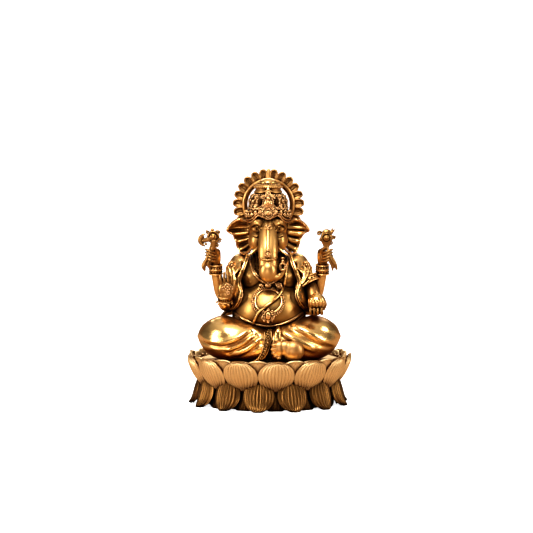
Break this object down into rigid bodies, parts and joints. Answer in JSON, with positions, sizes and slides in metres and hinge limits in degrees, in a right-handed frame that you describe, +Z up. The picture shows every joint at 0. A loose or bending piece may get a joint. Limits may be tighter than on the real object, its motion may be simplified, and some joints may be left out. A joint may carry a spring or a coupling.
{
  "type": "ganesha figurine",
  "caption": "Cast brass figurine of a many-armed, elephant-headed figure seated on a lotus base, with an open petalled halo behind its crown.",
  "frame": {"origin": "on the ground under the middle of the lotus base", "axes": "+Z up, -Y the way the figure faces, +X to the viewer's right"},
  "size_m": [0.0729, 0.0733, 0.1016],
  "materials": {
    "polished_brass": "polished antique gold with dark recesses",
    "satin_brass": "satin copper gold with fine tooled ribs",
    "dark_brass": "darker olive brass, lightly brushed"
  },
  "bodies": {
    "root": {"lotus_lower_petals": "dark_brass", "lotus_core": "dark_brass", "halo_stem": "dark_brass", "lotus_outer_petals": "satin_brass", "lotus_inner_petals": "satin_brass", "seat_disc": "satin_brass", "crown_band": "satin_brass", "crown_dome": "satin_brass", "crown_tier": "satin_brass", "crown_finial": "satin_brass", "crown_crest": "satin_brass", "right_rear_bracelet": "satin_brass", "left_rear_bracelet": "satin_brass", "right_front_bracelet": "satin_brass", "left_front_bracelet": "satin_brass", "left_armlet": "satin_brass", "axe_head": "satin_brass", "goad_head": "satin_brass", "modak": "satin_brass", "palm_mark": "satin_brass", "torso": "polished_brass", "shawl": "polished_brass", "long_necklace": "polished_brass", "short_necklace": "polished_brass", "sacred_thread": "polished_brass", "waist_belt": "polished_brass", "pendant": "polished_brass", "right_leg": "polished_brass", "left_leg": "polished_brass", "left_foot": "polished_brass", "dhoti_hem": "polished_brass", "sash_end": "polished_brass", "head": "polished_brass", "trunk": "polished_brass", "right_ear": "polished_brass", "left_ear": "polished_brass", "right_tusk": "polished_brass", "left_tusk": "polished_brass", "halo_ring": "polished_brass", "halo_rays": "polished_brass", "right_rear_arm": "polished_brass", "left_rear_arm": "polished_brass", "right_rear_hand": "polished_brass", "left_rear_hand": "polished_brass", "axe_handle": "polished_brass", "goad_staff": "polished_brass", "right_front_arm": "polished_brass", "left_front_arm": "polished_brass", "right_front_hand": "polished_brass", "left_front_hand": "polished_brass"}
  },
  "joints": []
}
